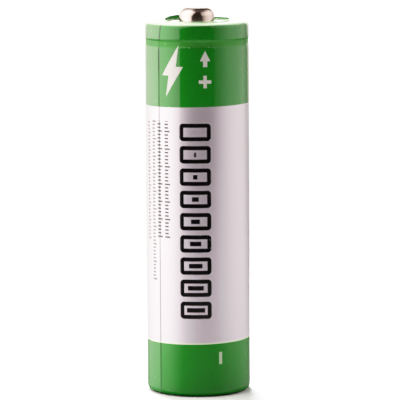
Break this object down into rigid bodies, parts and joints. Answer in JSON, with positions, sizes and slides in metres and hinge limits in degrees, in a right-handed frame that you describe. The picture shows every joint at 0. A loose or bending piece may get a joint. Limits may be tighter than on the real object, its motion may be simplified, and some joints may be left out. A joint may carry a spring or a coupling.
{
  "type": "cylindrical battery cell",
  "caption": "Upright cylindrical rechargeable cell: beaded steel can in printed film, flat base, and a flat-topped positive button over a sprung gas vent.",
  "frame": {"origin": "centre of the negative contact face, on the cell's axis", "axes": "+Z along the cell's axis towards the positive button, -Y towards the printed front, +X to the right of the front"},
  "size_m": [0.0136, 0.0136, 0.0505],
  "materials": {
    "printed_film": "glossy clear coat over silver film, green ends",
    "nickel_can": "nickel plated, satin",
    "nickel_button": "nickel plated, bright",
    "lid_steel": "nickel plated, satin",
    "washer_fibre": "white, matte",
    "gasket_nylon": "natural nylon",
    "sealant_bitumen": "black, tacky",
    "valve_rubber": "black rubber",
    "valve_steel": "nickel plated",
    "spring_steel": "drawn wire",
    "nickel_strip": "rolled nickel",
    "tape_film": "amber tape",
    "insulator_plastic": "white, matte",
    "positive_paste": "pressed paste in nickel foam",
    "alloy_coat": "rolled alloy powder",
    "substrate_steel": "nickel plated strip",
    "separator_fleece": "white fleece"
  },
  "bodies": {
    "cell": {"label_sleeve": "printed_film", "can": "nickel_can", "top_washer": "washer_fibre", "positive_cap": "nickel_button", "sealing_plate": "lid_steel", "gasket": "gasket_nylon", "sealant_ring": "sealant_bitumen", "vent_spring": "spring_steel", "positive_tab": "nickel_strip", "tab_tape": "tape_film", "upper_insulator": "insulator_plastic", "lower_insulator": "insulator_plastic", "positive_electrode": "positive_paste", "negative_substrate": "substrate_steel", "negative_coat_inner": "alloy_coat", "negative_coat_outer": "alloy_coat", "separator_inner": "separator_fleece", "separator_outer": "separator_fleece"},
    "vent_valve": {"valve_plate": "valve_steel", "valve_seal": "valve_rubber"}
  },
  "joints": [
    {"name": "vent_lift", "type": "slide", "parent": "cell", "child": "vent_valve", "axis": [0, 0, 1], "range_m": [0, 0.00035], "deforming": ["vent_spring"]}
  ]
}
